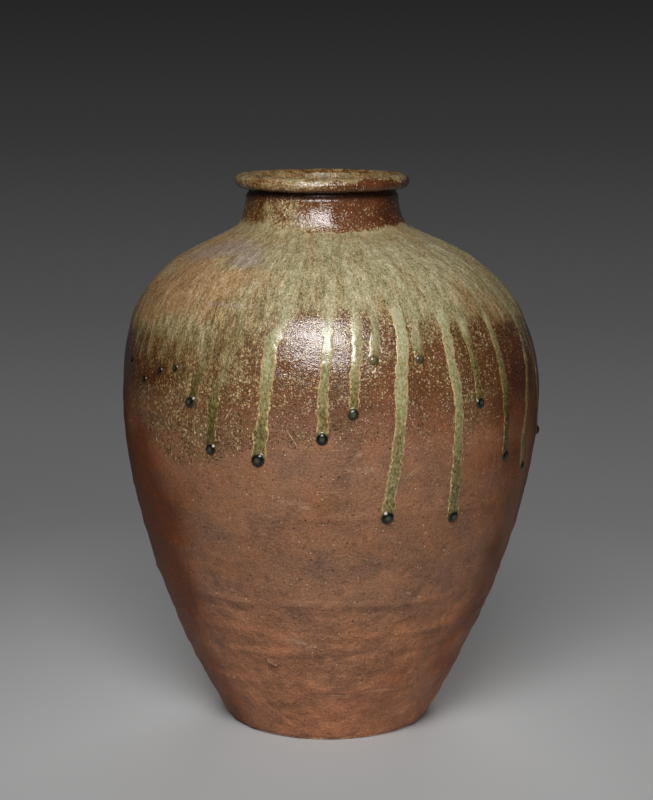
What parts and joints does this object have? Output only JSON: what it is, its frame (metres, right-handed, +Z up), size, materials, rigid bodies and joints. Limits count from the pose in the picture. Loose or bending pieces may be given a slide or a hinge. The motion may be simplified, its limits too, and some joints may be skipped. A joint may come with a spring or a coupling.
{
  "type": "water jar",
  "caption": "Large coil-built stoneware storage jar with a short upright neck, a rolled lip and natural ash glaze running down from its shoulder.",
  "frame": {"origin": "middle of the flat foot, on the ground", "axes": "+Z up along the jar; -Y towards the side that the picture shows, +X to that side's right"},
  "size_m": [0.3499, 0.3527, 0.4599],
  "materials": {
    "body_clay": "unglazed iron-rich stoneware, satin brown",
    "shoulder_clay": "ash-flashed stoneware, dark brown, slightly glossy",
    "ash_glaze": "natural ash glaze, olive to khaki, streaked, satin to glossy",
    "run_glaze": "clear olive glass with pale borders, near-black where it pools into beads",
    "kiln_clay": "rough stuck clay"
  },
  "bodies": {
    "root": {"base_slab": "body_clay", "heel_course": "body_clay", "lower_course": "body_clay", "middle_course": "body_clay", "belly_course": "body_clay", "upper_belly_course": "shoulder_clay", "shoulder_course": "shoulder_clay", "collar_course": "shoulder_clay", "neck": "shoulder_clay", "lip": "shoulder_clay", "clay_lump": "kiln_clay", "glaze_run_01": "run_glaze", "glaze_run_02": "run_glaze", "glaze_run_03": "run_glaze", "glaze_run_04": "run_glaze", "glaze_run_05": "run_glaze", "glaze_run_06": "run_glaze", "glaze_run_07": "run_glaze", "glaze_run_08": "run_glaze", "glaze_run_09": "run_glaze", "glaze_run_10": "run_glaze", "glaze_run_11": "run_glaze", "glaze_run_12": "run_glaze", "glaze_run_13": "run_glaze", "glaze_run_14": "run_glaze", "glaze_run_15": "run_glaze", "glaze_run_16": "run_glaze", "glaze_run_17": "run_glaze", "glaze_run_18": "run_glaze", "glaze_run_19": "run_glaze", "glaze_run_20": "run_glaze", "glaze_run_21": "run_glaze", "glaze_run_22": "run_glaze", "glaze_run_23": "run_glaze", "glaze_run_24": "run_glaze", "glaze_run_25": "run_glaze", "glaze_run_26": "run_glaze", "glaze_run_27": "run_glaze", "lip_ash_glaze": "ash_glaze", "neck_ash_glaze": "ash_glaze", "shoulder_ash_glaze": "ash_glaze"}
  },
  "joints": []
}
